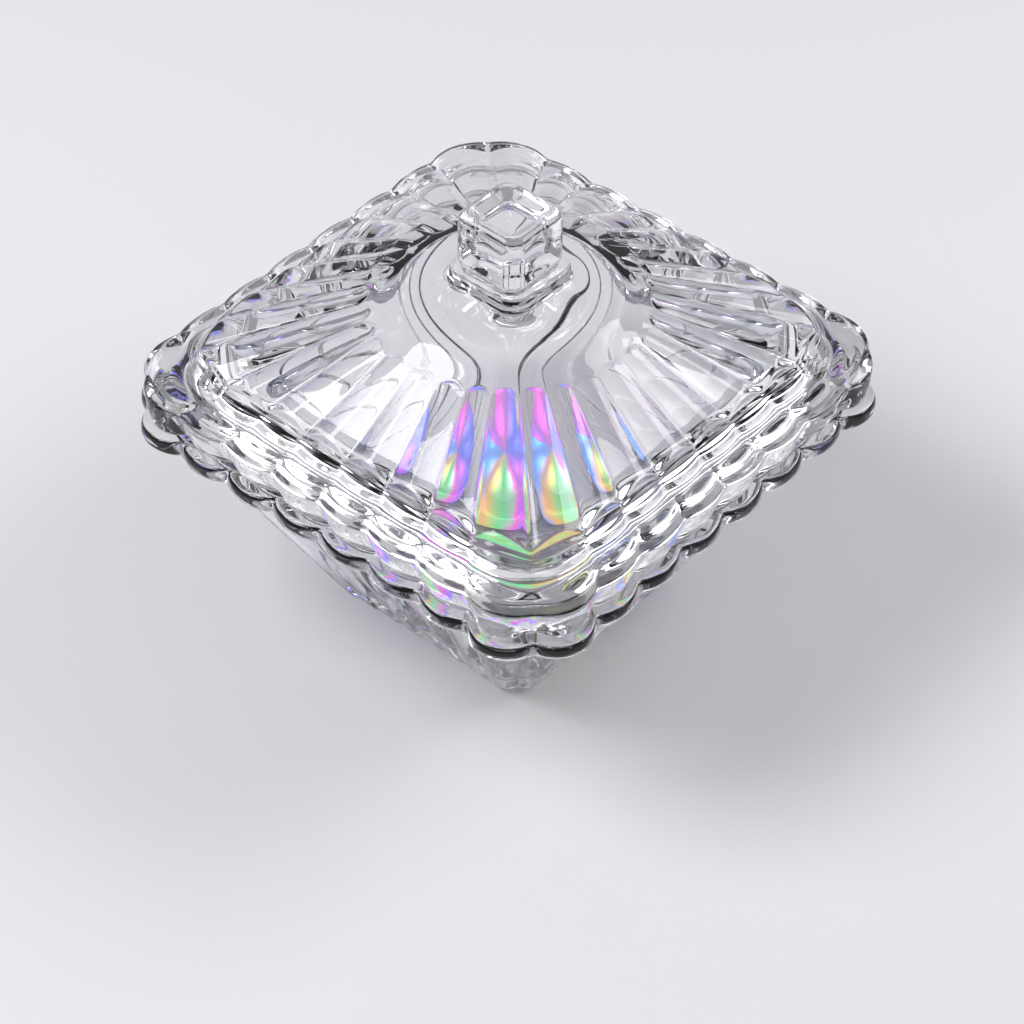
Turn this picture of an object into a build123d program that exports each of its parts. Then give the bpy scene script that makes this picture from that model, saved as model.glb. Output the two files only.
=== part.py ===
from build123d import *
from math import atan, cos, radians, sqrt, tan
import os

# Square covered box in pressed glass, with a small battery light standing inside it.
# Millimetres, +Z up, origin on the table under the centre of the bowl.
# The sides run along X and Y, so the corners point along the diagonals.

# ---- plan of the lobes, shared by the bowl and the lid ----
lobes_per_side = 6  # between the two wider lobes at the corners
corner_share = 0.318  # part of a half side that a corner lobe takes
corner_draw = 0.95  # how far out the notch on a corner lies, as a share of the half side

# ---- bowl: half sizes run from the centre to the notches of a straight side ----
bowl_height = 60.0
foot_half = 29.7
foot_rim_width = 5.5
foot_recess = 1.2
foot_recess_radius = 7.0
wall_rise = 1.9  # how far a lobe stands proud of its notches, square to its wall
wall_corner_rise = 3.1
core_inset = 4.5  # how far the plain square inside the lobes lies behind their notches
floor_thickness = 9.0
floor_inset = 2.7  # from the notches of the foot in to the sides of the floor
mouth_wall = 4.1  # from the sides of the mouth out to the notches of the wall
mouth_radius = 9.0
flange_thickness = 4.2
flange_half = 64.4
flange_reach = 5.8  # how far the flange stands out from the wall
flange_bulge = 2.3
flange_corner_bulge = 4.2

# ---- lid: heights are above the flange that it rests on ----
skirt_draft = 3.4  # how far the foot of the skirt draws in under its top edge
skirt_top_height = 8.8
skirt_rise = 2.0
skirt_corner_rise = 3.6
ledge_share = 0.45  # part of the ledges' width that the steeper outer one takes
ledge_height = 10.8
ledge_width = 7.6
step_height = 12.0
step_rise = 1.5
step_corner_rise = 2.4
step_draft = 35.0  # lean of the wall that the flutes end in, from upright
flute_end_height = 15.2  # at the notches between the flutes
flute_rise = 2.0  # how far a flute stands proud of its notches
flute_corner_rise = 2.2
flute_tip_radius = 34.7
flute_tip_height = 27.2
flute_tip_round = 1.5
dome_height = 35.8
dome_radius = 75.0
dome_edge = 1.3  # how far the dome runs on under the tips of the flutes
dome_staves = 6
lid_wall = 4.8
lid_crown_wall = 6.5
lid_hollow_radius = 9.0
lid_hollow_draw = 1.0
locating_depth = 2.5
locating_width = 3.4
locating_clearance = 0.7

# ---- knob moulded on top of the lid ----
plinth_side = 23.2
plinth_radius = 5.6
plinth_height = 2.0
plinth_bevel = 1.3
knob_side = 19.0
knob_radius = 3.8
knob_height = 15.4
knob_bevel = 1.5
neck_bevel = 1.2
dish_side = 13.4
dish_radius = 2.6
dish_depth = 2.2
dish_slope = 36.0

# ---- battery light: case ----
case_radius = 18.0
case_wall = 1.8
case_height = 19.0
case_floor = 1.6
pad_count = 3
pad_width = 3.2
pad_length = 8.0
pad_height = 2.0
pad_sunk = 0.6
post_count = 2
post_width = 3.6

# ---- battery light: cover that turns out of the floor ----
cover_radius = 12.3
cover_gap = 0.1
cover_thickness = 1.4
cover_boss_side = 10.0
cover_turn = 40.0
tab_width = 4.0
tab_reach = 1.9
tab_height = 1.2
tab_angle = 35.0  # from a post to the tab beside it
pad_angle = 30.0  # from a notch in the floor to the pad beside it
coin_slot_length = 14.0
coin_slot_width = 1.8
coin_slot_depth = 0.8

# ---- battery light: cells and contacts ----
cell_radius = 10.0
cell_height = 3.2
cell_count = 2
holder_gap = 0.2
holder_wall = 1.6
holder_sides = 8
contact_width = 4.0
contact_sheet = 0.4
contact_foot = 2.4
contact_rise = 3.2
contact_lap = 0.05

# ---- battery light: board, reflector and lamps ----
board_thickness = 1.0
reflector_thickness = 1.6
led_side = 5.0
led_height = 1.4
led_circle = 10.2
led_gap = 0.3
chip_side = 3.0
chip_height = 1.0
resistor_length = 1.6
resistor_width = 0.9
resistor_height = 0.5
under_circle = 13.9  # chip and resistors, between the cell holder and the case
resistor_count = 4
resistor_step = 30.0
switch_side = 6.0
switch_height = 3.4
plunger_radius = 1.7
plunger_gap = 0.2
plunger_proud = 1.0
press_travel = 0.8
screw_radius = 0.8
screw_length = 4.0
screw_head_radius = 1.5
screw_head_height = 0.9

# ---- battery light: lens that is pressed to switch it ----
lens_gap = 0.3
lens_height = 7.0
lens_clearance = 0.3  # above the reflector at full press
part_gap = 0.3  # between pieces that drop into each other

# ---- levels and radii that follow from the sizes ----
rim_level = bowl_height
room = 3 * flange_half
wall_top_half = flange_half - flange_reach
mouth_half = wall_top_half - mouth_wall
floor_half = foot_half - floor_inset
skirt_top_half = flange_half
skirt_foot_half = skirt_top_half - skirt_draft
step_half = skirt_top_half - ledge_width
ledge_half = skirt_top_half - ledge_share * ledge_width
step_slope = tan(radians(step_draft))
flute_end_half = step_half - (flute_end_height - step_height) * step_slope
flange_level = bowl_height - flange_thickness
mouth_slope = (mouth_half - floor_half) / (bowl_height - floor_thickness)
ring_outer_half = mouth_half - locating_clearance
ring_inner_half = ring_outer_half - locating_width
skirt_level = rim_level + skirt_top_height
dome_level = rim_level + dome_height
case_level = floor_thickness + pad_height - pad_sunk
case_floor_top = case_level + case_floor
case_top = case_level + case_height
bore_radius = case_radius - case_wall
floor_hole_radius = cover_radius + cover_gap
floor_ring_middle = (floor_hole_radius + case_radius) / 2
tab_level = case_floor_top + cover_gap
cell_level = tab_level + tab_height + part_gap
holder_inner_reach = cell_radius + holder_gap
holder_reach = holder_inner_reach + holder_wall
stack_top = cell_level + cell_count * cell_height
board_level = stack_top + contact_rise
board_top = board_level + board_thickness
reflector_top = board_top + reflector_thickness
board_radius = bore_radius - part_gap
post_circle = bore_radius - post_width / 2
switch_top = board_top + switch_height
plunger_top = switch_top + plunger_proud
lens_level = reflector_top + lens_clearance + press_travel
lens_radius = bore_radius - lens_gap
led_colours = ("blue_leds", "green_leds", "pink_leds", "amber_leds")
led_step = 180 / len(led_colours)

os.makedirs("parts", exist_ok=True)


def notch_points(level, half, reach=None):
    """Notches of the lobed outline, anticlockwise from the corner at low X and low Y.

    Half is from the centre to a side, and reach from its middle to its last notch.
    """
    reach = reach or half * (1 - corner_share)
    pitch = 2 * reach / lobes_per_side
    corner = half * corner_draw
    side = [Vector(-corner, -corner, level)]
    side += [Vector(-reach + pitch * i, -half, level) for i in range(lobes_per_side + 1)]
    return [notch.rotate(Axis.Z, 90 * turn) for turn in range(4) for notch in side]


def pairs(points):
    """Each notch with the next one, all the way round."""
    return list(zip(points, points[1:] + points[:1]))


def by_lobe(side_value, corner_value):
    """One value for each lobe in turn, the wider lobes at the corners having their own."""
    return ([corner_value] + [side_value] * lobes_per_side + [corner_value]) * 4


def scalloped_face(points, bulge, corner_bulge):
    """Face bounded by arcs between the notches; a negative bulge points inwards."""
    arcs = []
    for (start, end), depth in zip(pairs(points), by_lobe(bulge, corner_bulge)):
        run = end - start
        outward = Vector(run.Y, -run.X).normalized()
        crest = (start + end) * 0.5 + outward * depth
        arcs.append(Edge.make_three_point_arc(start, crest, end))
    return Face(Wire(arcs))


def make_rib(lower, upper, rise):
    """Leaning cylinder through two pairs of notches, proud of the wider pair by rise."""
    middles = [(pair[0] + pair[1]) * 0.5 for pair in (lower, upper)]
    lean = (middles[1] - middles[0]).normalized()
    widths = [(pair[1] - pair[0]).cross(lean).length / 2 for pair in (lower, upper)]
    radius = (max(widths) ** 2 + rise**2) / (2 * rise)
    proud = (lower[1] - lower[0]).cross(lean).normalized()
    ends = [
        middle - proud * sqrt(radius**2 - width**2) for middle, width in zip(middles, widths)
    ]
    run = ends[1] - ends[0]
    spare = run.normalized() * radius
    start = Plane(ends[0] - spare, z_dir=run)
    upright = (Align.CENTER, Align.CENTER, Align.MIN)
    return start * Cylinder(radius, run.length + 2 * radius, align=upright)


def make_ribs(lower, upper, rise, corner_rise):
    """One rib for each lobe, between two rows of notches."""
    rows = zip(pairs(lower), pairs(upper), by_lobe(rise, corner_rise))
    return [make_rib(*ends) for ends in rows]


def wedge(low_half, high_half, bottom, top):
    """Square block with flat sides that lean evenly from one half size to another."""
    points = [(-low_half, bottom), (low_half, bottom), (high_half, top), (-high_half, top)]
    profile = Plane.XZ * make_face(Polyline(*points, close=True))
    across = extrude(profile, max(low_half, high_half), both=True)
    return across & Rot(0, 0, 90) * across


def rounded_wedge(low_half, high_half, bottom, top, radius):
    """Wedge with its four leaning edges rounded."""
    plain = wedge(low_half, high_half, bottom, top)
    leaning = plain.edges() - plain.edges().filter_by(Plane.XY)
    return fillet(leaning, radius)


def rounded_square(level, half, radius):
    return Pos(0, 0, level) * RectangleRounded(2 * half, 2 * half, radius)


def disc(radius, bottom, top):
    """Upright cylinder from one level to another."""
    upright = (Align.CENTER, Align.CENTER, Align.MIN)
    return Pos(0, 0, bottom) * Cylinder(radius, top - bottom, align=upright)


def block(length, width, bottom, top):
    """Box of this length along X and width along Y, centred on the axis."""
    upright = (Align.CENTER, Align.CENTER, Align.MIN)
    return Pos(0, 0, bottom) * Box(length, width, top - bottom, align=upright)


def around(shape, count, circle, first_angle=0.0, span=360.0):
    """Copies of a shape set out on a circle, each turned with its place."""
    angles = [first_angle + span / count * i for i in range(count)]
    return [Rot(0, 0, angle) * Pos(circle, 0, 0) * shape for angle in angles]


def on_posts(shape):
    return around(shape, post_count, post_circle)


# ---- glass ----
def slab(bottom, top):
    """Everything between two levels that the glass can reach."""
    return block(room, room, bottom, top)


def make_bowl():
    lower = notch_points(0, foot_half)
    upper = notch_points(flange_level, wall_top_half)
    core_halves = (foot_half - core_inset, wall_top_half - core_inset)
    ribs = make_ribs(lower, upper, wall_rise, wall_corner_rise)
    wall = wedge(*core_halves, 0, flange_level) + [rib & slab(0, flange_level) for rib in ribs]
    outline = scalloped_face(
        notch_points(flange_level, flange_half), flange_bulge, flange_corner_bulge
    )
    flange = extrude(outline, flange_thickness)
    hollow = rounded_wedge(floor_half, mouth_half, floor_thickness, rim_level, mouth_radius)
    recess_foot = rounded_square(0, foot_half - foot_rim_width, foot_recess_radius)
    return wall + flange - hollow - extrude(recess_foot, foot_recess)


def make_skirt():
    """Row of pillows round the foot of the lid, under two sloping ledges."""
    reach = skirt_top_half * (1 - corner_share)
    lower = notch_points(rim_level, skirt_foot_half, reach)
    upper = notch_points(skirt_level, skirt_top_half, reach)
    top = rim_level + step_height
    below = slab(rim_level, top)
    ribs = make_ribs(lower, upper, skirt_rise, skirt_corner_rise)
    core_halves = (skirt_foot_half - core_inset, skirt_top_half - core_inset)
    skirt = wedge(*core_halves, rim_level, skirt_level)
    skirt += wedge(core_halves[1], core_halves[1], skirt_level, top)
    skirt += [rib & below for rib in ribs]
    ledges = (
        (skirt_top_half, skirt_top_height, ledge_half, ledge_height),
        (ledge_half, ledge_height, step_half, step_height),
    )
    for half, height, next_half, next_height in ledges:
        lean = (half - next_half) / (next_height - height)
        foot_half_size = half + lean * height
        top_half_size = half - lean * (step_height - height)
        skirt &= wedge(foot_half_size, top_half_size, rim_level, top)
    return skirt


def make_roof():
    """Flutes fanning out from a smooth dome, each ending in a leaning round wall."""
    ends = notch_points(rim_level + flute_end_height, flute_end_half)
    rise = Vector(0, 0, flute_tip_height - flute_end_height)
    tips = [
        Vector(end.X, end.Y).normalized() * flute_tip_radius + Vector(0, 0, end.Z) + rise
        for end in ends
    ]
    base = rim_level + ledge_height
    drawn_in = (dome_height - step_height) * step_slope
    wall_foot = notch_points(rim_level + step_height, step_half)
    wall_top = notch_points(dome_level, step_half - drawn_in)
    flutes = make_ribs(ends, tips, flute_rise, flute_corner_rise)
    walls = make_ribs(wall_foot, wall_top, step_rise, step_corner_rise)
    above = slab(base, dome_level)
    core_half = step_half - core_inset
    core = wedge(core_half, core_half - drawn_in, base, dome_level)
    ribs = [flute & (wall + core) & above for flute, wall in zip(flutes, walls)]
    roof = ribs[0] + ribs[1:]
    flat_tips = [Vector(tip.X, tip.Y, base) for tip in tips]
    roof -= extrude(scalloped_face(flat_tips, -flute_tip_round, -flute_tip_round), room)
    return roof + make_dome(base)


def make_dome(bottom):
    """Low dome under the knob, made of long round staves that meet in faint ridges."""
    dome = disc(flute_tip_radius + dome_edge, bottom, dome_level)
    for stave in range(dome_staves):
        lying = Pos(0, 0, dome_level - dome_radius) * Rot(90, 0, 0) * Cylinder(dome_radius, room)
        dome &= Rot(0, 0, 180 / dome_staves * stave) * lying
    return dome


def hollow_half(end_half, height):
    """Half size at a height of a flat side that lies a wall's thickness inside the flutes."""
    slope = (flute_tip_height - flute_end_height) / (end_half - flute_tip_radius)
    drop = lid_wall / cos(atan(slope))
    return end_half - (height - flute_end_height + drop) / slope


def make_lid_hollow():
    """Smooth inside of the lid: upright behind the skirt, then eight sides up to a crown."""
    foot = -locating_depth
    crown = dome_height - lid_crown_wall
    levels = (rim_level + foot, rim_level + crown)
    corner_end = flute_end_half * (2 - corner_share) / sqrt(2)
    shaft_half = ring_inner_half - lid_hollow_draw
    hollow = rounded_wedge(ring_inner_half, shaft_half, *levels, lid_hollow_radius)
    for turn, end_half in ((0, flute_end_half), (45, corner_end)):
        sides = wedge(hollow_half(end_half, foot), hollow_half(end_half, crown), *levels)
        hollow &= Rot(0, 0, turn) * sides
    return hollow


def make_knob():
    """Cube with a dished top on a rounded plinth, both square to the lid."""
    neck_level = dome_level + plinth_height
    top = neck_level + knob_height
    plinth_foot = rounded_square(dome_level - plinth_height, plinth_side / 2, plinth_radius)
    plinth = extrude(plinth_foot, 2 * plinth_height)
    plinth = chamfer(plinth.edges().group_by(Axis.Z)[-1], plinth_bevel)
    post = extrude(rounded_square(neck_level, knob_side / 2, knob_radius), knob_height)
    post = chamfer(post.edges().group_by(Axis.Z)[-1], knob_bevel)
    post = chamfer(post.edges().group_by(Axis.Z)[0], neck_bevel)
    dish = extrude(
        rounded_square(top, dish_side / 2, dish_radius), -dish_depth, taper=dish_slope
    )
    return plinth + post - dish


def make_lid():
    low_outer_half = ring_outer_half - mouth_slope * locating_depth
    ring = rounded_wedge(
        low_outer_half, ring_outer_half, rim_level - locating_depth, rim_level, mouth_radius
    )
    return make_skirt() + make_roof() + ring - make_lid_hollow() + make_knob()


# ---- battery light ----
def tab_ring(extra, bottom, top):
    """Tabs on the cover, or with extra the notches that let them out of the floor."""
    tab = block(tab_reach + cover_gap + extra, tab_width + 2 * extra, bottom, top)
    start = cover_radius - part_gap
    middle = start + (tab_reach + cover_gap + extra) / 2
    return around(tab, post_count, middle, tab_angle)


def make_case():
    shell = disc(case_radius, case_level, case_top)
    shell -= disc(bore_radius, case_floor_top, case_top)
    shell -= disc(floor_hole_radius, case_level, case_floor_top)
    notches = tab_ring(part_gap, case_level, case_floor_top)
    shell -= [Rot(0, 0, cover_turn) * notch for notch in notches]
    shell -= make_pads()
    for post in on_posts(block(post_width, post_width, case_floor_top, board_level)):
        shell += post
    return shell - make_screws()


def make_pads():
    pad = block(pad_width, pad_length, floor_thickness, case_level + pad_sunk)
    return around(pad, pad_count, floor_ring_middle, tab_angle + cover_turn + pad_angle)


def make_cover():
    plate = disc(cover_radius, case_floor_top - cover_thickness, tab_level)
    boss = block(cover_boss_side, cover_boss_side, tab_level, cell_level)
    cover = plate + boss
    for tab in tab_ring(0, tab_level, tab_level + tab_height):
        cover += tab
    base = case_floor_top - cover_thickness
    return cover - block(coin_slot_length, coin_slot_width, base, base + coin_slot_depth)


def make_cell(index):
    base = cell_level + index * cell_height
    return disc(cell_radius, base, base + cell_height)


def make_holder():
    """Eight-sided tube round the cells, open on one side for a contact."""
    octagons = [
        RegularPolygon(reach, holder_sides, major_radius=False, rotation=180 / holder_sides)
        for reach in (holder_reach, holder_inner_reach)
    ]
    tube = extrude(Pos(0, 0, cell_level) * (octagons[0] - octagons[1]), board_level - cell_level)
    slot = block(4 * holder_wall, contact_width + part_gap, cell_level, board_level)
    return tube - Pos(-holder_reach, 0, 0) * slot


def make_centre_contact():
    """Strip bent like a Z, from the board down to the top of the upper cell."""
    top_foot = block(contact_foot, contact_width, board_level - contact_sheet, board_level)
    low_foot = block(contact_foot, contact_width, stack_top, stack_top + contact_sheet)
    web = block(contact_sheet, contact_width, stack_top, board_level)
    shift = (contact_foot - contact_sheet) / 2
    return web + Pos(shift, 0, 0) * top_foot + Pos(-shift, 0, 0) * low_foot


def make_edge_contact():
    """Strip from the board down the side of the cells, in the slot of their holder."""
    leg = block(contact_sheet, contact_width, cell_level + cell_height / 2, board_level)
    foot = block(contact_foot, contact_width, board_level - contact_sheet, board_level)
    start = cell_radius + contact_lap
    strip = Pos(start + contact_sheet / 2, 0, 0) * leg + Pos(start + contact_foot / 2, 0, 0) * foot
    return Rot(0, 0, 180) * strip


def make_board():
    return disc(board_radius, board_level, board_top) - make_screws()


def make_leds(index):
    """The pair of lamps of one colour, opposite each other on the board."""
    lamp = block(led_side, led_side, board_top, board_top + led_height)
    return around(lamp, 2, led_circle, led_step * (index + 0.5))


def make_reflector():
    """White plate over the board, open round each lamp and round the switch."""
    plate = disc(board_radius, board_top, reflector_top)
    window = led_side + 2 * led_gap
    opening = block(window, window, board_top, reflector_top)
    plate -= around(opening, 2 * len(led_colours), led_circle, led_step / 2)
    middle = switch_side + 2 * led_gap
    plate -= block(middle, middle, board_top, reflector_top)
    notch = block(2 * post_width, post_width, board_top, reflector_top)
    return plate - around(notch, post_count, post_circle + post_width / 2)


def make_switch():
    body = block(switch_side, switch_side, board_top, switch_top)
    bore_depth = 2 * press_travel + plunger_gap
    return body - disc(plunger_radius + plunger_gap, switch_top - bore_depth, switch_top)


def make_plunger():
    return disc(plunger_radius, switch_top - press_travel, plunger_top)


def make_screws():
    shank = disc(screw_radius, board_top - screw_length, board_top)
    head = disc(screw_head_radius, board_top, board_top + screw_head_height)
    return on_posts(shank + head)


def make_lens():
    body = disc(lens_radius, lens_level, lens_level + lens_height)
    pocket = switch_side + 2 * part_gap
    return body - block(pocket, pocket, lens_level, plunger_top)


def make_chip():
    chip = block(chip_side, chip_side, board_level - chip_height, board_level)
    return Rot(0, 0, 90) * Pos(under_circle, 0, 0) * chip


def make_resistors():
    """Row beside the edge contact, half on each side of it."""
    resistor = block(resistor_width, resistor_length, board_level - resistor_height, board_level)
    span = resistor_count * resistor_step
    first = 180 - (span - resistor_step) / 2
    return around(resistor, resistor_count, under_circle, first, span)


def write(name, shapes):
    solids = shapes if isinstance(shapes, list) else [shapes]
    shape = solids[0] if len(solids) == 1 else Compound(children=solids)
    export_step(shape, f"parts/{name}.step")


write("bowl", make_bowl())
write("lid", make_lid())
write("light_case", make_case())
write("foot_pads", make_pads())
write("battery_cover", make_cover())
for position, place in enumerate(("lower", "upper")[:cell_count]):
    write(f"coin_cell_{place}", make_cell(position))
write("cell_holder", make_holder())
write("centre_contact", make_centre_contact())
write("edge_contact", make_edge_contact())
write("circuit_board", make_board())
write("reflector", make_reflector())
for position, colour in enumerate(led_colours):
    write(colour, make_leds(position))
write("driver_chip", make_chip())
write("resistors", make_resistors())
write("push_switch", make_switch())
write("switch_plunger", make_plunger())
write("board_screws", make_screws())
write("lens", make_lens())
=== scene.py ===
import math

import bpy
import numpy as np
from mathutils import Matrix, Vector


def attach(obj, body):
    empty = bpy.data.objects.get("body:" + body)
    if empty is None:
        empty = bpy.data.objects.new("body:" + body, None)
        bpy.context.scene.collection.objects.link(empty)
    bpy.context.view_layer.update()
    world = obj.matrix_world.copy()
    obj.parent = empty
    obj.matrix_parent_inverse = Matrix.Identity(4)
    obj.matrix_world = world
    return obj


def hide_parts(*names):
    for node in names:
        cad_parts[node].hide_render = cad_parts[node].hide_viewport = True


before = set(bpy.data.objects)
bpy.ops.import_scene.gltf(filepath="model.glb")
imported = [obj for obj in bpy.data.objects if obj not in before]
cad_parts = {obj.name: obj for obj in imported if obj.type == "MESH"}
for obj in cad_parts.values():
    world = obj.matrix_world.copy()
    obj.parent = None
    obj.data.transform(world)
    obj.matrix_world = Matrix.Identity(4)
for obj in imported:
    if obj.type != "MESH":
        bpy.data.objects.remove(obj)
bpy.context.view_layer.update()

# Glass sizes are in millimetres and heights are above the table.
MM = 0.001
LOBES_PER_SIDE = 6
CORNER_SHARE = 0.318
CORNER_DRAW = 0.925  # the corner notches are a little deeper here than in the solids
CORNER_FULLNESS = 1.18  # lets the corner lobes stand out from their deeper notch
STEPS = 8  # points along each lobe
RIM = 60.0
FLANGE_UNDERSIDE = 55.8
FOOT_HALF = 29.7
FOOT_RECESS = 1.2
FLOOR_HALF = 27.0
FLOOR = 9.0
SKIRT_HALF = 64.4
SKIRT_REACH = SKIRT_HALF * (1 - CORNER_SHARE)
FLUTE_END_HALF = 54.4
FLUTE_END = 75.2
FLUTE_TIP_RADIUS = 34.7
FLUTE_TIP = 87.2
DOME_TOP = 95.8
DOME_RADIUS = 75.0
TIP_CREST_RISE = 1.3
KNOB_TOP = 113.2
LID_GAP = 0.08  # air between the lid and the flange, each side of their meeting level
WALL_RIPPLE = 0.16
FLAT_BULGE = 0.02  # a lobe that stands out less than this is drawn straight

# The inside of the lid slopes at two rates, on its sides and on its corners: reach at a height, and fall.
SIDE_REACH = 54.0
SIDE_REACH_HEIGHT = RIM + 9.55
SIDE_FALL = 0.622
CORNER_REACH = 64.2
CORNER_REACH_HEIGHT = RIM + 10.02
CORNER_FALL = 0.407
SMALLEST_INSIDE_RADIUS = 9.0

# The lamps stand on a ring; its radius and the width of each one's glow are in metres.
LAMP_CIRCLE = 0.0102
LAMP_WIDTH = 0.0035
LAMP_COUNT = 8
LAMP_STRENGTH = 12.0
GLASS_IOR = 1.52

# Angles in degrees, distances in metres and the lens in millimetres.
CAMERA_TURN = -49.089
CAMERA_RISE = 42.925
CAMERA_ROLL = 0.559
CAMERA_TARGET = (-0.0175, -0.01653, 0.0433)
CAMERA_DISTANCE = 0.85904
CAMERA_LENS = 130.07
FLOOR_SIZE = 6


# ---- outlines, each a row of points around the axis ----
def notches(half, reach=None):
    """Notches of the lobed outline, anticlockwise from the corner at low X and low Y."""
    reach = reach or half * (1 - CORNER_SHARE)
    pitch = 2 * reach / LOBES_PER_SIDE
    corner = half * CORNER_DRAW
    side = [(-corner, -corner)]
    side += [(-reach + pitch * i, -half) for i in range(LOBES_PER_SIDE + 1)]
    turns = [np.linalg.matrix_power(np.array([[0, -1], [1, 0]]), turn) for turn in range(4)]
    return np.array([turn @ np.array(point) for turn in turns for point in side])


def by_lobe(side_value, corner_value):
    corner = [corner_value * CORNER_FULLNESS]
    return (corner + [side_value] * LOBES_PER_SIDE + corner) * 4


def arcs(points, bulge, corner_bulge):
    """Outline through the notches with an arc for each lobe, bulging out or, below 0, in."""
    rows = []
    shares = np.arange(STEPS) / STEPS
    following = np.roll(points, -1, axis=0)
    for start, end, depth in zip(points, following, by_lobe(bulge, corner_bulge)):
        run = end - start
        length = np.linalg.norm(run)
        outward = np.array([run[1], -run[0]]) / length
        if abs(depth) < FLAT_BULGE:
            rows.append(start + np.outer(shares, run))
            continue
        radius = (length**2 / 4 + depth**2) / (2 * abs(depth))
        half_angle = math.asin(min(1.0, length / 2 / radius))
        angles = (2 * shares - 1) * half_angle
        along = (radius * np.sin(angles) / length + 0.5)[:, None] * run
        proud = radius * (np.cos(angles) - math.cos(half_angle)) * math.copysign(1, depth)
        rows.append(start + along + np.outer(proud, outward))
    return np.concatenate(rows)


def lobed(half, bulge, corner_bulge, reach=None):
    return arcs(notches(half, reach), bulge, corner_bulge)


def crest_share():
    """How near each point is to the crest of its lobe, from 0 at a notch to 1."""
    shares = np.arange(STEPS) / STEPS
    return np.tile(1 - (2 * shares - 1) ** 2, len(notches(1.0)))


DIRECTIONS = arcs(notches(1.0), 0, 0)
DIRECTIONS = DIRECTIONS / np.linalg.norm(DIRECTIONS, axis=1)[:, None]
CREST = crest_share()


def soft_square(half, radius):
    """Square with round corners, its points in the same directions as a lobed outline's."""
    major = np.abs(DIRECTIONS).max(axis=1)
    minor = np.abs(DIRECTIONS).min(axis=1)
    core = half - radius
    total = core * (major + minor)
    round_reach = total + np.sqrt(np.maximum(total**2 - 2 * core**2 + radius**2, 0))
    flat_reach = half / major
    reach = np.where(flat_reach * minor <= core, flat_reach, round_reach)
    return DIRECTIONS * reach[:, None]


def circle(radius):
    return DIRECTIONS * radius


def ring(outline, height):
    """Outline lifted to a height, which may differ from point to point."""
    heights = np.broadcast_to(np.asarray(height, float), len(outline))
    return np.column_stack([outline, heights])


def between(first, last, shares):
    """Rings set evenly or unevenly between two others."""
    return [first + (last - first) * share for share in shares]


def rounded_once(grid, closed):
    """Grid with a point added between each two rows, and its rows eased towards a smooth run."""
    after = np.roll(grid, -1, axis=0)
    before = np.roll(grid, 1, axis=0)
    kept = grid * 0.75 + (before + after) * 0.125
    added = (grid + after) * 0.5
    if not closed:
        kept[0], kept[-1] = grid[0], grid[-1]
        added = added[:-1]
    result = np.empty((len(kept) + len(added), *grid.shape[1:]))
    result[0::2], result[1::2] = kept, added
    return result


def glass_mesh(name, rings):
    """Closed smooth skin through a stack of rings, its first and last ring filled flat."""
    grid = rounded_once(np.array(rings), closed=False)
    grid = rounded_once(grid.transpose(1, 0, 2), closed=True).transpose(1, 0, 2)
    levels, count = grid.shape[:2]
    index = np.arange(levels * count).reshape(levels, count)
    beside = np.roll(index, -1, axis=1)
    corners = (index[:-1], beside[:-1], beside[1:], index[1:])
    faces = np.stack(corners, axis=-1).reshape(-1, 4).tolist()
    faces += [index[0][::-1].tolist(), index[-1].tolist()]
    mesh = bpy.data.meshes.new(name)
    mesh.from_pydata((grid.reshape(-1, 3) * MM).tolist(), [], faces)
    mesh.update()
    mesh.shade_smooth()
    piece = bpy.data.objects.new(name, mesh)
    bpy.context.scene.collection.objects.link(piece)
    return piece


# ---- bowl ----
def make_bowl_glass():
    rings = [
        ring(soft_square(12, 6), FOOT_RECESS),
        ring(soft_square(FOOT_HALF - 6.3, 6.5), FOOT_RECESS),
        ring(soft_square(FOOT_HALF - 5.5, 7), 1.0),
        ring(soft_square(FOOT_HALF - 5.3, 7), 0.3),
        ring(soft_square(FOOT_HALF - 4.7, 7), 0.0),
        ring(lobed(FOOT_HALF - 1.1, 0.9, 1.6), 0.0),
        ring(lobed(FOOT_HALF - 0.2, 1.1, 1.9), 0.25),
        ring(lobed(FOOT_HALF + 0.2, 1.2, 2.0), 0.9),
    ]
    wall_foot = ring(lobed(FOOT_HALF + 0.8, 1.25, 2.05), 2.0)
    wall_top = ring(lobed(58.6, 2.2, 3.6), FLANGE_UNDERSIDE - 0.4)
    rings += between(wall_foot, wall_top, np.linspace(0, 1, 12))
    rings += [
        ring(lobed(59.4, 2.2, 3.7), FLANGE_UNDERSIDE),
        ring(lobed(63.6, 2.3, 4.1), FLANGE_UNDERSIDE),
        ring(lobed(64.3, 2.3, 4.2), FLANGE_UNDERSIDE + 0.5),
        ring(lobed(64.5, 2.3, 4.2), FLANGE_UNDERSIDE + 1.3),
        ring(lobed(64.4, 2.3, 4.2), RIM - 1.3),
        ring(lobed(64.0, 2.25, 4.15), RIM - 0.5),
        ring(lobed(63.1, 2.2, 4.0), RIM - LID_GAP),
        ring(lobed(59.0, 1.2, 2.0), RIM - LID_GAP),
        ring(soft_square(55.6, 9.8), RIM - LID_GAP),
        ring(soft_square(54.8, 9.2), RIM - 0.5),
    ]
    mouth = ring(soft_square(54.0, 9), RIM - 1.6)
    floor = ring(soft_square(FLOOR_HALF + 2.0, 7.4), FLOOR + 3.4)
    rings += between(mouth, floor, np.linspace(0, 1, 10))
    rings += [
        ring(soft_square(FLOOR_HALF + 0.9, 7), FLOOR + 1.7),
        ring(soft_square(FLOOR_HALF - 0.6, 6.5), FLOOR + 0.4),
        ring(soft_square(FLOOR_HALF - 2.4, 6), FLOOR),
        ring(soft_square(12, 5), FLOOR),
    ]
    return glass_mesh("bowl_glass", rings)


# ---- lid ----
def dome_height(radius):
    return DOME_TOP - DOME_RADIUS + np.sqrt(DOME_RADIUS**2 - radius**2)


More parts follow.
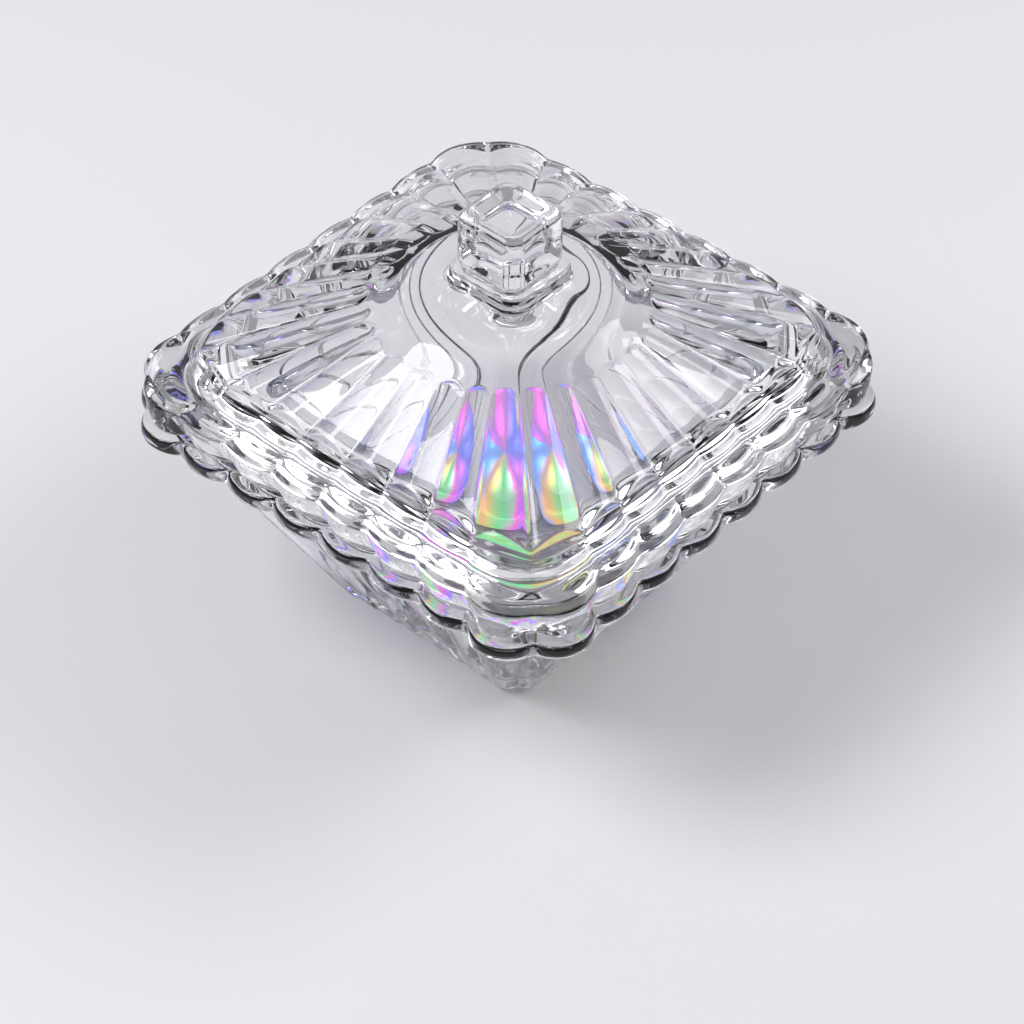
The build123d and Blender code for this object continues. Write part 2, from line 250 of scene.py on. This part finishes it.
def inside_ring(height):
    """Sloping inside of the lid at a height, as round at its corners as the wall allows."""
    half = SIDE_REACH - (height - SIDE_REACH_HEIGHT) / SIDE_FALL
    corner = CORNER_REACH - (height - CORNER_REACH_HEIGHT) / CORNER_FALL
    radius = (half * math.sqrt(2) - corner) / (math.sqrt(2) - 1)
    return ring(soft_square(half, min(max(radius, SMALLEST_INSIDE_RADIUS), half)), height)


def make_lid_inside():
    rings = [
        ring(circle(10), 89.3),
        ring(circle(18), 89.2),
        ring(circle(21.3), 88.9),
    ]
    rings += [inside_ring(height) for height in (88.0, 86, 84, 82, 80, 78, 76, 74, 73)]
    shaft = ring(soft_square(50.2, 9.6), RIM - 1.5)
    spring = ring(soft_square(49.5, 18.0), RIM + 11.4)
    rings += between(spring, ring(soft_square(49.9, 11.0), RIM + 7.0), (0, 0.5, 1))
    rings += [
        shaft,
        ring(soft_square(50.5, 9.4), RIM - 2.3),
        ring(soft_square(51.1, 9.2), RIM - 2.5),
        ring(soft_square(51.9, 9), RIM - 2.5),
        ring(soft_square(52.5, 9), RIM - 2.2),
        ring(soft_square(53.5, 9), RIM - 0.4),
        ring(soft_square(54.2, 9.2), RIM + LID_GAP),
    ]
    return rings


def make_lid_outside():
    rings = [
        ring(lobed(57.5, 1.4, 2.4, SKIRT_REACH), RIM + LID_GAP),
        ring(lobed(60.4, 2.6, 4.7, SKIRT_REACH), RIM + LID_GAP),
        ring(lobed(61.1, 2.8, 5.0, SKIRT_REACH), RIM + 0.5),
    ]
    low = ring(lobed(61.5, 2.75, 4.9, SKIRT_REACH), RIM + 1.3)
    belly = ring(lobed(63.3, 2.1, 3.8, SKIRT_REACH), RIM + 4.6)
    high = ring(lobed(64.4, 1.5, 2.8, SKIRT_REACH), RIM + 7.9)
    rings += between(low, belly, (0, 0.33, 0.67)) + between(belly, high, (0, 0.33, 0.67, 1))
    rings += [
        ring(lobed(64.4, 1.3, 2.5, SKIRT_REACH), RIM + 8.5),
        ring(lobed(63.8, 1.2, 2.4, SKIRT_REACH), RIM + 8.9),
        ring(lobed(62.6, 1.3, 2.4), RIM + 9.4),
        ring(lobed(61.4, 1.6, 2.8), RIM + 10.4),
        ring(lobed(60.7, 1.6, 2.8), RIM + 10.8),
        ring(lobed(59.0, 1.5, 2.5), RIM + 11.2),
        ring(lobed(57.6, 1.4, 2.3), RIM + 11.6),
    ]
    wall_foot = ring(lobed(56.7, 1.4, 2.2), RIM + 12.2)
    ends = lobed(FLUTE_END_HALF, 0, 0)
    wall_top = ring(ends, FLUTE_END + 2.2 * CREST)
    ripple = ring(DIRECTIONS * WALL_RIPPLE, 0)
    for index, row in enumerate(between(wall_foot, wall_top, np.linspace(0, 0.9, 7))):
        rings.append(row + ripple * (-1) ** index)
    tip_notches = notches(FLUTE_END_HALF)
    tip_notches = tip_notches / np.linalg.norm(tip_notches, axis=1)[:, None] * FLUTE_TIP_RADIUS
    tips = arcs(tip_notches, -1.5, -1.5)
    tip_ring = ring(tips, FLUTE_TIP + TIP_CREST_RISE * CREST)
    first = ring(ends, FLUTE_END + 2.3 * CREST)
    rings += between(first, tip_ring, (0.0, 0.03, 0.1, 0.2, 0.35, 0.5, 0.65, 0.8, 0.9, 0.97, 1.0))
    for scale in (0.985, 0.965):
        reach = np.linalg.norm(tips, axis=1) * scale
        rings.append(ring(tips * scale, dome_height(reach)))
    for radius in (30.5, 26.0, 21.5, 17.5):
        rings.append(ring(circle(radius), dome_height(radius)))
    return rings


def make_knob():
    return [
        ring(soft_square(12.9, 8.0), 94.9),
        ring(soft_square(12.0, 6.4), 95.1),
        ring(soft_square(11.6, 5.6), 95.8),
        ring(soft_square(11.5, 5.4), 96.6),
        ring(soft_square(11.1, 5.2), 97.3),
        ring(soft_square(10.3, 4.8), 97.7),
        ring(soft_square(9.0, 3.8), 97.9),
        ring(soft_square(8.5, 3.3), 98.3),
        ring(soft_square(8.7, 3.2), 98.8),
        ring(soft_square(9.3, 3.6), 99.4),
        ring(soft_square(9.5, 3.8), 100.2),
        ring(soft_square(9.5, 3.8), 103.5),
        ring(soft_square(9.5, 3.8), 107.5),
        ring(soft_square(9.5, 3.8), 111.2),
        ring(soft_square(9.2, 3.6), 112.2),
        ring(soft_square(8.4, 3.2), 113.0),
        ring(soft_square(7.7, 2.9), KNOB_TOP),
        ring(soft_square(6.9, 2.6), KNOB_TOP - 0.1),
        ring(soft_square(6.2, 2.3), 112.4),
        ring(soft_square(5.3, 1.9), 111.3),
        ring(soft_square(4.6, 1.7), 111.0),
        ring(soft_square(2.5, 1.0), 110.9),
    ]


def make_lid_glass():
    rings = make_lid_inside() + make_lid_outside() + make_knob()
    return glass_mesh("lid_glass", rings)


# ---- shared surface effects ----
def effect(name, inputs, outputs):
    """Empty node group with named number inputs and the named outputs."""
    group = bpy.data.node_groups.new(name, "ShaderNodeTree")
    for label, value in inputs.items():
        socket = group.interface.new_socket(label, in_out="INPUT", socket_type="NodeSocketFloat")
        socket.default_value = value
    for label in outputs:
        group.interface.new_socket(label, in_out="OUTPUT", socket_type="NodeSocketFloat")
    return group, group.nodes.new("NodeGroupInput"), group.nodes.new("NodeGroupOutput")


def make_mottle():
    """Soft uneven tone, and a height for a fine moulded texture."""
    group, given, out = effect("mottle", {"Scale": 200.0, "Fine scale": 1500.0}, ("Mask", "Height"))
    nodes, links = group.nodes, group.links
    place = nodes.new("ShaderNodeTexCoord")
    coarse = nodes.new("ShaderNodeTexNoise")
    coarse.inputs["Detail"].default_value = 3
    fine = nodes.new("ShaderNodeTexNoise")
    fine.inputs["Detail"].default_value = 2
    for noise, label in ((coarse, "Scale"), (fine, "Fine scale")):
        links.new(place.outputs["Object"], noise.inputs["Vector"])
        links.new(given.outputs[label], noise.inputs["Scale"])
    spread = nodes.new("ShaderNodeMapRange")
    spread.inputs["From Min"].default_value = 0.3
    spread.inputs["From Max"].default_value = 0.7
    links.new(coarse.outputs["Fac"], spread.inputs["Value"])
    links.new(spread.outputs["Result"], out.inputs["Mask"])
    links.new(fine.outputs["Fac"], out.inputs["Height"])
    return group


def make_pressed_waves():
    """Low waves that hot glass keeps from its mould, as a height."""
    group, given, out = effect("pressed_waves", {"Scale": 60.0}, ("Height",))
    nodes, links = group.nodes, group.links
    place = nodes.new("ShaderNodeTexCoord")
    waves = nodes.new("ShaderNodeTexNoise")
    waves.inputs["Detail"].default_value = 1.5
    waves.inputs["Roughness"].default_value = 0.4
    links.new(place.outputs["Object"], waves.inputs["Vector"])
    links.new(given.outputs["Scale"], waves.inputs["Scale"])
    links.new(waves.outputs["Fac"], out.inputs["Height"])
    return group


def add_math(nodes, links, operation, *values):
    """Math node fed by numbers and by other nodes' outputs; returns its output."""
    node = nodes.new("ShaderNodeMath")
    node.operation = operation
    for socket, value in zip(node.inputs, values):
        if isinstance(value, (int, float)):
            socket.default_value = value
        else:
            links.new(value, socket)
    return node.outputs["Value"]


def make_colour_fan():
    """Share that turns once around the axis, for the painted colours over the lamps, and their painted
    glow.
    """
    inputs = {"Turn": 0.0, "Blur": 0.12, "Lamp circle": LAMP_CIRCLE, "Lamp width": LAMP_WIDTH}
    group, given, out = effect("colour_fan", inputs, ("Share", "Glow"))
    nodes, links = group.nodes, group.links
    place = nodes.new("ShaderNodeTexCoord")
    split = nodes.new("ShaderNodeSeparateXYZ")
    links.new(place.outputs["Object"], split.inputs["Vector"])
    x, y = split.outputs["X"], split.outputs["Y"]
    angle = add_math(nodes, links, "ARCTAN2", y, x)
    stir = nodes.new("ShaderNodeTexNoise")
    stir.inputs["Scale"].default_value = 90
    links.new(place.outputs["Object"], stir.inputs["Vector"])
    share = add_math(nodes, links, "MULTIPLY_ADD", angle, 1 / (2 * math.pi), given.outputs["Turn"])
    moved = add_math(nodes, links, "MULTIPLY_ADD", stir.outputs["Fac"], given.outputs["Blur"], share)
    links.new(add_math(nodes, links, "FRACT", moved), out.inputs["Share"])
    across = add_math(nodes, links, "MULTIPLY", x, x)
    reach = add_math(nodes, links, "SQRT", add_math(nodes, links, "MULTIPLY_ADD", y, y, across))
    off_circle = add_math(nodes, links, "SUBTRACT", reach, given.outputs["Lamp circle"])
    off_share = add_math(nodes, links, "DIVIDE", off_circle, given.outputs["Lamp width"])
    squared = add_math(nodes, links, "MULTIPLY", off_share, off_share)
    radial = add_math(nodes, links, "EXPONENT", add_math(nodes, links, "MULTIPLY", squared, -1.0))
    turned = add_math(nodes, links, "MULTIPLY_ADD", angle, float(LAMP_COUNT), -math.pi)
    wave = add_math(nodes, links, "COSINE", turned)
    around_axis = add_math(nodes, links, "MULTIPLY_ADD", wave, 0.5, 0.5)
    links.new(add_math(nodes, links, "MULTIPLY", radial, around_axis), out.inputs["Glow"])
    return group


# ---- materials ----
def new_material(name):
    material = bpy.data.materials.new(name)
    material.use_nodes = True
    material.cycles.emission_sampling = "NONE"
    nodes = material.node_tree.nodes
    return material, nodes, material.node_tree.links, nodes["Principled BSDF"]


def add_effect(nodes, group, **values):
    node = nodes.new("ShaderNodeGroup")
    node.node_tree = group
    for label, value in values.items():
        node.inputs[label.replace("_", " ").capitalize()].default_value = value
    return node


def add_bump(nodes, links, shader, height, distance, strength=1.0):
    bump = nodes.new("ShaderNodeBump")
    bump.inputs["Distance"].default_value = distance
    bump.inputs["Strength"].default_value = strength
    links.new(height, bump.inputs["Height"])
    links.new(bump.outputs["Normal"], shader.inputs["Normal"])


def make_glass(name, tint, wave_height):
    material, nodes, links, shader = new_material(name)
    shader.inputs["Base Color"].default_value = (*tint, 1)
    shader.inputs["Transmission Weight"].default_value = 1.0
    shader.inputs["IOR"].default_value = GLASS_IOR
    shader.inputs["Roughness"].default_value = 0.0
    waves = add_effect(nodes, PRESSED_WAVES, scale=45.0)
    add_bump(nodes, links, shader, waves.outputs["Height"], wave_height)
    return material


def make_moulded(name, tones, roughness, metallic=0.0, scale=200.0, grain=1500.0, depth=2e-5):
    """Opaque finish with two close tones, an uneven sheen and a fine surface."""
    material, nodes, links, shader = new_material(name)
    mottle = add_effect(nodes, MOTTLE, scale=scale, fine_scale=grain)
    mix = nodes.new("ShaderNodeMix")
    mix.data_type = "RGBA"
    mix.inputs["A"].default_value = (*tones[0], 1)
    mix.inputs["B"].default_value = (*tones[1], 1)
    links.new(mottle.outputs["Mask"], mix.inputs["Factor"])
    links.new(mix.outputs["Result"], shader.inputs["Base Color"])
    spread = nodes.new("ShaderNodeMapRange")
    spread.inputs["To Min"].default_value = roughness[0]
    spread.inputs["To Max"].default_value = roughness[1]
    links.new(mottle.outputs["Mask"], spread.inputs["Value"])
    links.new(spread.outputs["Result"], shader.inputs["Roughness"])
    shader.inputs["Metallic"].default_value = metallic
    add_bump(nodes, links, shader, mottle.outputs["Height"], depth)
    return material


def make_lamp(name, colour, strength):
    material = make_moulded(name, ((0.92, 0.9, 0.82), (0.85, 0.83, 0.75)), (0.25, 0.4))
    shader = material.node_tree.nodes["Principled BSDF"]
    shader.inputs["Emission Color"].default_value = (*colour, 1)
    shader.inputs["Emission Strength"].default_value = strength
    return material


LAMP_COLOURS = (
    (0.0, (0.32, 0.04, 1.0)),
    (0.14, (0.9, 0.05, 0.62)),
    (0.26, (0.05, 0.1, 1.0)),
    (0.42, (0.03, 0.06, 1.0)),
    (0.52, (0.42, 0.04, 1.0)),
    (0.6, (0.95, 0.06, 0.7)),
    (0.68, (0.03, 0.85, 0.25)),
    (0.78, (1.0, 0.5, 0.06)),
    (0.88, (0.05, 0.3, 1.0)),
)


def add_lamp_colours(nodes, links, fan):
    ramp = nodes.new("ShaderNodeValToRGB")
    stops = ramp.color_ramp.elements
    while len(stops) < len(LAMP_COLOURS):
        stops.new(0.5)
    for stop, (place, colour) in zip(stops, LAMP_COLOURS):
        stop.position = place
        stop.color = (*colour, 1)
    links.new(fan.outputs["Share"], ramp.inputs["Fac"])
    return ramp.outputs["Color"]


def make_painted_glow(name, base, roughness, strength, glow):
    """Frosted plastic with the light of the lamps behind it painted on as a glow in their colours,
    brighter over each one.
    """
    material, nodes, links, shader = new_material(name)
    fan = add_effect(nodes, COLOUR_FAN)
    colours = add_lamp_colours(nodes, links, fan)
    gain = nodes.new("ShaderNodeMapRange")
    gain.inputs["To Min"].default_value = 1 - glow
    links.new(fan.outputs["Glow"], gain.inputs["Value"])
    scaled = nodes.new("ShaderNodeVectorMath")
    scaled.operation = "SCALE"
    links.new(colours, scaled.inputs[0])
    links.new(gain.outputs["Result"], scaled.inputs["Scale"])
    links.new(scaled.outputs["Vector"], shader.inputs["Emission Color"])
    shader.inputs["Emission Strength"].default_value = strength
    shader.inputs["Base Color"].default_value = (*base, 1)
    mottle = add_effect(nodes, MOTTLE, scale=400.0, fine_scale=1200.0)
    spread = nodes.new("ShaderNodeMapRange")
    spread.inputs["To Min"].default_value, spread.inputs["To Max"].default_value = roughness
    links.new(mottle.outputs["Mask"], spread.inputs["Value"])
    links.new(spread.outputs["Result"], shader.inputs["Roughness"])
    add_bump(nodes, links, shader, mottle.outputs["Height"], 3e-5)
    return material


MOTTLE = make_mottle()
PRESSED_WAVES = make_pressed_waves()
COLOUR_FAN = make_colour_fan()

LIGHT_GREYS = ((0.82, 0.82, 0.8), (0.76, 0.76, 0.74))
BLACKS = ((0.03, 0.03, 0.032), (0.05, 0.05, 0.052))
RUBBER_BLACKS = ((0.05, 0.05, 0.05), (0.08, 0.08, 0.08))
CELL_GREYS = ((0.72, 0.72, 0.73), (0.62, 0.62, 0.64))
BRASSES = ((0.85, 0.66, 0.32), (0.74, 0.56, 0.27))
BOARD_GREENS = ((0.02, 0.2, 0.09), (0.03, 0.26, 0.12))
WHITES = ((0.9, 0.9, 0.9), (0.84, 0.84, 0.84))
SCREW_GREYS = ((0.66, 0.66, 0.68), (0.56, 0.56, 0.58))

FINISHES = {
    "white_plastic": make_moulded("white_plastic_finish", LIGHT_GREYS, (0.35, 0.5)),
    "black_plastic": make_moulded("black_plastic_finish", BLACKS, (0.4, 0.55)),
    "pad_rubber": make_moulded("pad_rubber_finish", RUBBER_BLACKS, (0.75, 0.9), depth=6e-5),
    "cell_steel": make_moulded("cell_steel_finish", CELL_GREYS, (0.22, 0.35), 1.0),
    "contact_brass": make_moulded("contact_brass_finish", BRASSES, (0.25, 0.4), 1.0),
    "green_board": make_moulded("green_board_finish", BOARD_GREENS, (0.3, 0.45), scale=500.0),
    "reflector_white": make_moulded("reflector_white_finish", WHITES, (0.25, 0.35)),
    "led_blue": make_lamp("led_blue_finish", (0.1, 0.2, 1.0), LAMP_STRENGTH),
    "led_green": make_lamp("led_green_finish", (0.1, 1.0, 0.3), LAMP_STRENGTH),
    "led_pink": make_lamp("led_pink_finish", (1.0, 0.25, 0.8), LAMP_STRENGTH),
    "led_amber": make_lamp("led_amber_finish", (1.0, 0.65, 0.2), LAMP_STRENGTH),
    "screw_steel": make_moulded("screw_steel_finish", SCREW_GREYS, (0.28, 0.42), 1.0, 900.0),
    # The lens is no lamp: its glow in the lamps' colours, brighter over each one, is painted light.
    "lens_plastic": make_painted_glow("lens_painted_glow", (0.45, 0.45, 0.5), (0.25, 0.4), 2.2, 0.75),
}
# The light case is no lamp: its all-over glow in the lamps' colours is painted light.
NODE_PAINTED_GLOWS = {
    "light_case": make_painted_glow("case_painted_glow", (0.5, 0.5, 0.52), (0.35, 0.5), 0.8, 0.0),
}
GLASS = make_glass("pressed_glass", (0.97, 0.965, 0.985), 1.2e-4)


def dress_frame():
    """Puts the made finish in place of each node's plain one, by the slot's name."""
    for name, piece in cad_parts.items():
        for place in piece.material_slots:
            finish = FINISHES.get(place.material.name)
            if finish:
                place.material = NODE_PAINTED_GLOWS.get(name, finish)


def make_glass_pieces():
    for piece, node in ((make_bowl_glass(), "bowl"), (make_lid_glass(), "lid")):
        piece.data.materials.append(GLASS)
        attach(piece, node)
        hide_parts(node)


# ---- stage ----
def make_floor():
    bpy.ops.mesh.primitive_plane_add(size=FLOOR_SIZE, location=(0, 0, 0))
    floor = bpy.context.object
    floor.name = "floor"
    material, nodes, links, shader = new_material("pale_floor")
    shader.inputs["Base Color"].default_value = (0.82, 0.82, 0.83, 1)
    shader.inputs["Roughness"].default_value = 0.6
    floor.data.materials.append(material)


def make_world():
    world = bpy.data.worlds.new("studio")
    bpy.context.scene.world = world
    world.use_nodes = True
    background = world.node_tree.nodes["Background"]
    background.inputs["Color"].default_value = (0.93, 0.95, 1.0, 1)
    background.inputs["Strength"].default_value = 0.35


def make_softbox(name, place, target, size, power):
    light = bpy.data.lights.new(name, "AREA")
    light.shape = "RECTANGLE"
    light.size, light.size_y = size
    light.energy = power
    lamp = bpy.data.objects.new(name, light)
    bpy.context.scene.collection.objects.link(lamp)
    lamp.location = place
    aim = Vector(target) - Vector(place)
    lamp.rotation_euler = aim.to_track_quat("-Z", "Y").to_euler()


def make_camera():
    turn, rise, roll = (math.radians(angle) for angle in (CAMERA_TURN, CAMERA_RISE, CAMERA_ROLL))
    back = Vector((math.sin(turn) * math.cos(rise), -math.cos(turn) * math.cos(rise), math.sin(rise)))
    right = Vector((0, 0, 1)).cross(back).normalized()
    up = back.cross(right)
    rolled_right = right * math.cos(roll) + up * math.sin(roll)
    rolled_up = up * math.cos(roll) - right * math.sin(roll)
    data = bpy.data.cameras.new("camera")
    data.lens = CAMERA_LENS
    data.sensor_width = 36
    camera = bpy.data.objects.new("camera", data)
    bpy.context.scene.collection.objects.link(camera)
    place = Vector(CAMERA_TARGET) + back * CAMERA_DISTANCE
    facing = Matrix((rolled_right, rolled_up, back)).transposed().to_4x4()
    camera.matrix_world = Matrix.Translation(place) @ facing
    bpy.context.scene.camera = camera


make_camera()
dress_frame()
make_glass_pieces()
make_floor()
make_world()
make_softbox("key", (-0.6, 0.5, 0.9), (0, 0, 0.05), (0.6, 0.6), 9)
make_softbox("fill", (0.7, -0.5, 0.7), (0, 0, 0.05), (0.7, 0.5), 5)
bpy.context.scene.view_settings.view_transform = "Standard"
